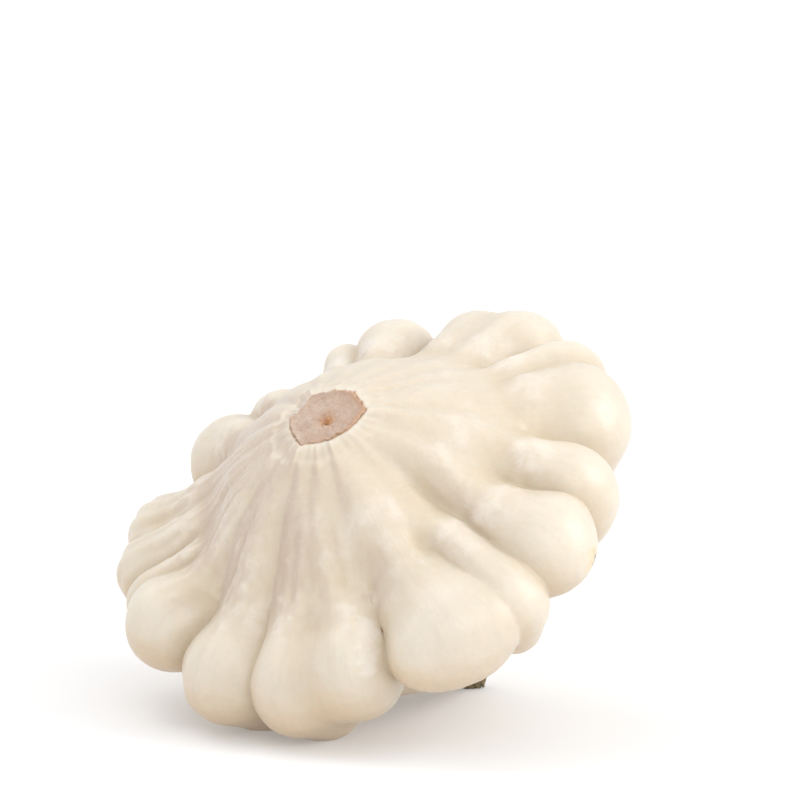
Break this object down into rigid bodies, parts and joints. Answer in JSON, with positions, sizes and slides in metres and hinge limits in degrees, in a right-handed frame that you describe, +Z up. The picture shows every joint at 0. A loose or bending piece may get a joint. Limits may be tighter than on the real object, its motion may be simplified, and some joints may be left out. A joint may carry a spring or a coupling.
{
  "type": "pattypan squash",
  "caption": "White scalloped summer squash lying on its side, with a domed ribbed crown, knuckle-like rim lobes, a cut stem scar and a small dried blossom end.",
  "frame": {"origin": "on the table, under the middle of the fruit's bounding box", "axes": "+Z up with the fruit lying as it rests; the stem leans 37 degrees from +Z towards -X and -Y, which is the side with the two lobes that touch the table"},
  "size_m": [0.127, 0.1248, 0.0958],
  "materials": {
    "skin": "waxy cream squash skin with a soft gloss",
    "stem_cork": "dry corky cut, pinkish tan with a broken brown edge",
    "blossom_cork": "dried dark olive-brown blossom end"
  },
  "bodies": {
    "root": {"fruit": "skin", "stem_scar": "stem_cork", "blossom_scar": "blossom_cork"}
  },
  "joints": []
}
